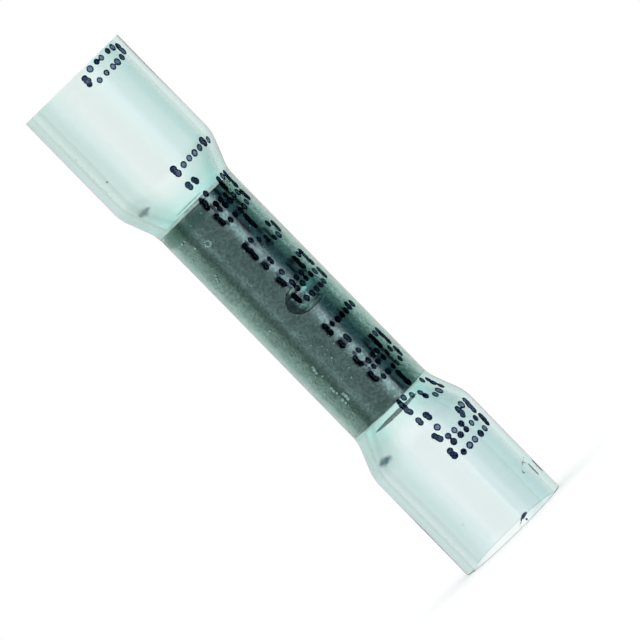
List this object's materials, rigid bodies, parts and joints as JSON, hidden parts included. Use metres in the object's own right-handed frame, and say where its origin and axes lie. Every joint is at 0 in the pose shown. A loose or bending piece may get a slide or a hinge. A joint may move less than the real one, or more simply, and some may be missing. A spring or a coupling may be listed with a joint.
{
  "type": "heat-shrink crimp splice connector",
  "caption": "Slim clear heat-shrink sleeve with flared mouths, lined with hot-melt adhesive and shrunk onto a tinned crimp barrel with a central wire stop.",
  "frame": {"origin": "centre of the lower mouth's rim, on the axis, at the height the splice stands on", "axes": "+Z along the splice's axis and out of its upper mouth; -Y towards the punched wire stop"},
  "size_m": [0.0068, 0.0068, 0.0337],
  "materials": {
    "clear_jacket": "glossy, clear, pale green",
    "clear_adhesive": "glossy, clear, very pale green",
    "tinned_copper": "dull satin tin plating"
  },
  "bodies": {
    "root": {"heat_shrink_sleeve": "clear_jacket", "adhesive_liner": "clear_adhesive", "crimp_barrel": "tinned_copper"}
  },
  "joints": []
}
